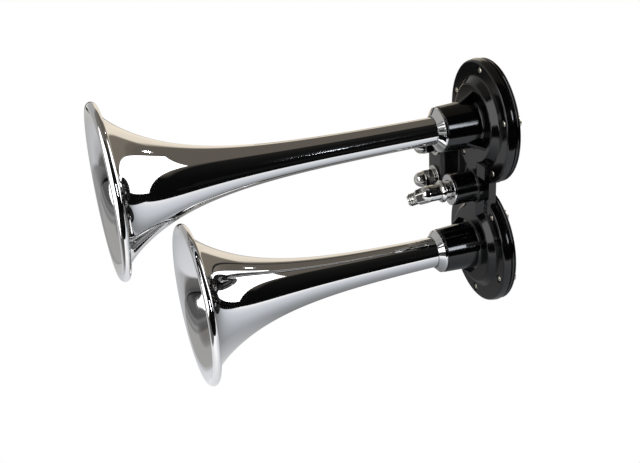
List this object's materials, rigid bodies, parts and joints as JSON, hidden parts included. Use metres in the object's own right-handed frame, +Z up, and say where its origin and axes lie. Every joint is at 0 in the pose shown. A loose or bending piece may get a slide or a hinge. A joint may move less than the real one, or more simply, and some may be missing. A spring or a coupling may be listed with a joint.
{
  "type": "twin-trumpet car air horn",
  "caption": "Twin-trumpet air horn: two chromed flared trumpets screwed into a black housing with diaphragms, an elbow air inlet and a bolted mounting bracket.",
  "frame": {"origin": "midway between the two M8 bolts, on the back face of the bracket's strap", "axes": "-Y is the way the trumpets point, +Z is up with one trumpet above the other, +X runs from the bracket's strap to the far side of the housing"},
  "size_m": [0.1303, 0.2954, 0.2254],
  "materials": {
    "black_enamel": "gloss",
    "black_steel": "semi-gloss",
    "chrome": "mirror",
    "plated_metal": "polished",
    "zinc": "zinc plated",
    "spring_steel": "rolled",
    "gasket_fibre": "matte",
    "rubber": "matte"
  },
  "bodies": {
    "root": {"front_housing": "black_enamel", "inlet_washer": "chrome", "inlet_elbow": "plated_metal", "mounting_bracket": "black_steel", "bracket_screws": "zinc", "upper_trumpet": "chrome", "upper_collar": "chrome", "upper_throat_seal": "rubber", "upper_diaphragm": "spring_steel", "upper_gasket": "gasket_fibre", "upper_rear_cover": "black_enamel", "upper_cover_screws": "zinc", "upper_mount_bolt": "zinc", "upper_flat_washer": "zinc", "upper_lock_washer": "zinc", "upper_acorn_nut": "plated_metal", "lower_trumpet": "chrome", "lower_collar": "chrome", "lower_throat_seal": "rubber", "lower_diaphragm": "spring_steel", "lower_gasket": "gasket_fibre", "lower_rear_cover": "black_enamel", "lower_cover_screws": "zinc", "lower_mount_bolt": "zinc", "lower_flat_washer": "zinc", "lower_lock_washer": "zinc", "lower_acorn_nut": "plated_metal"}
  },
  "joints": []
}
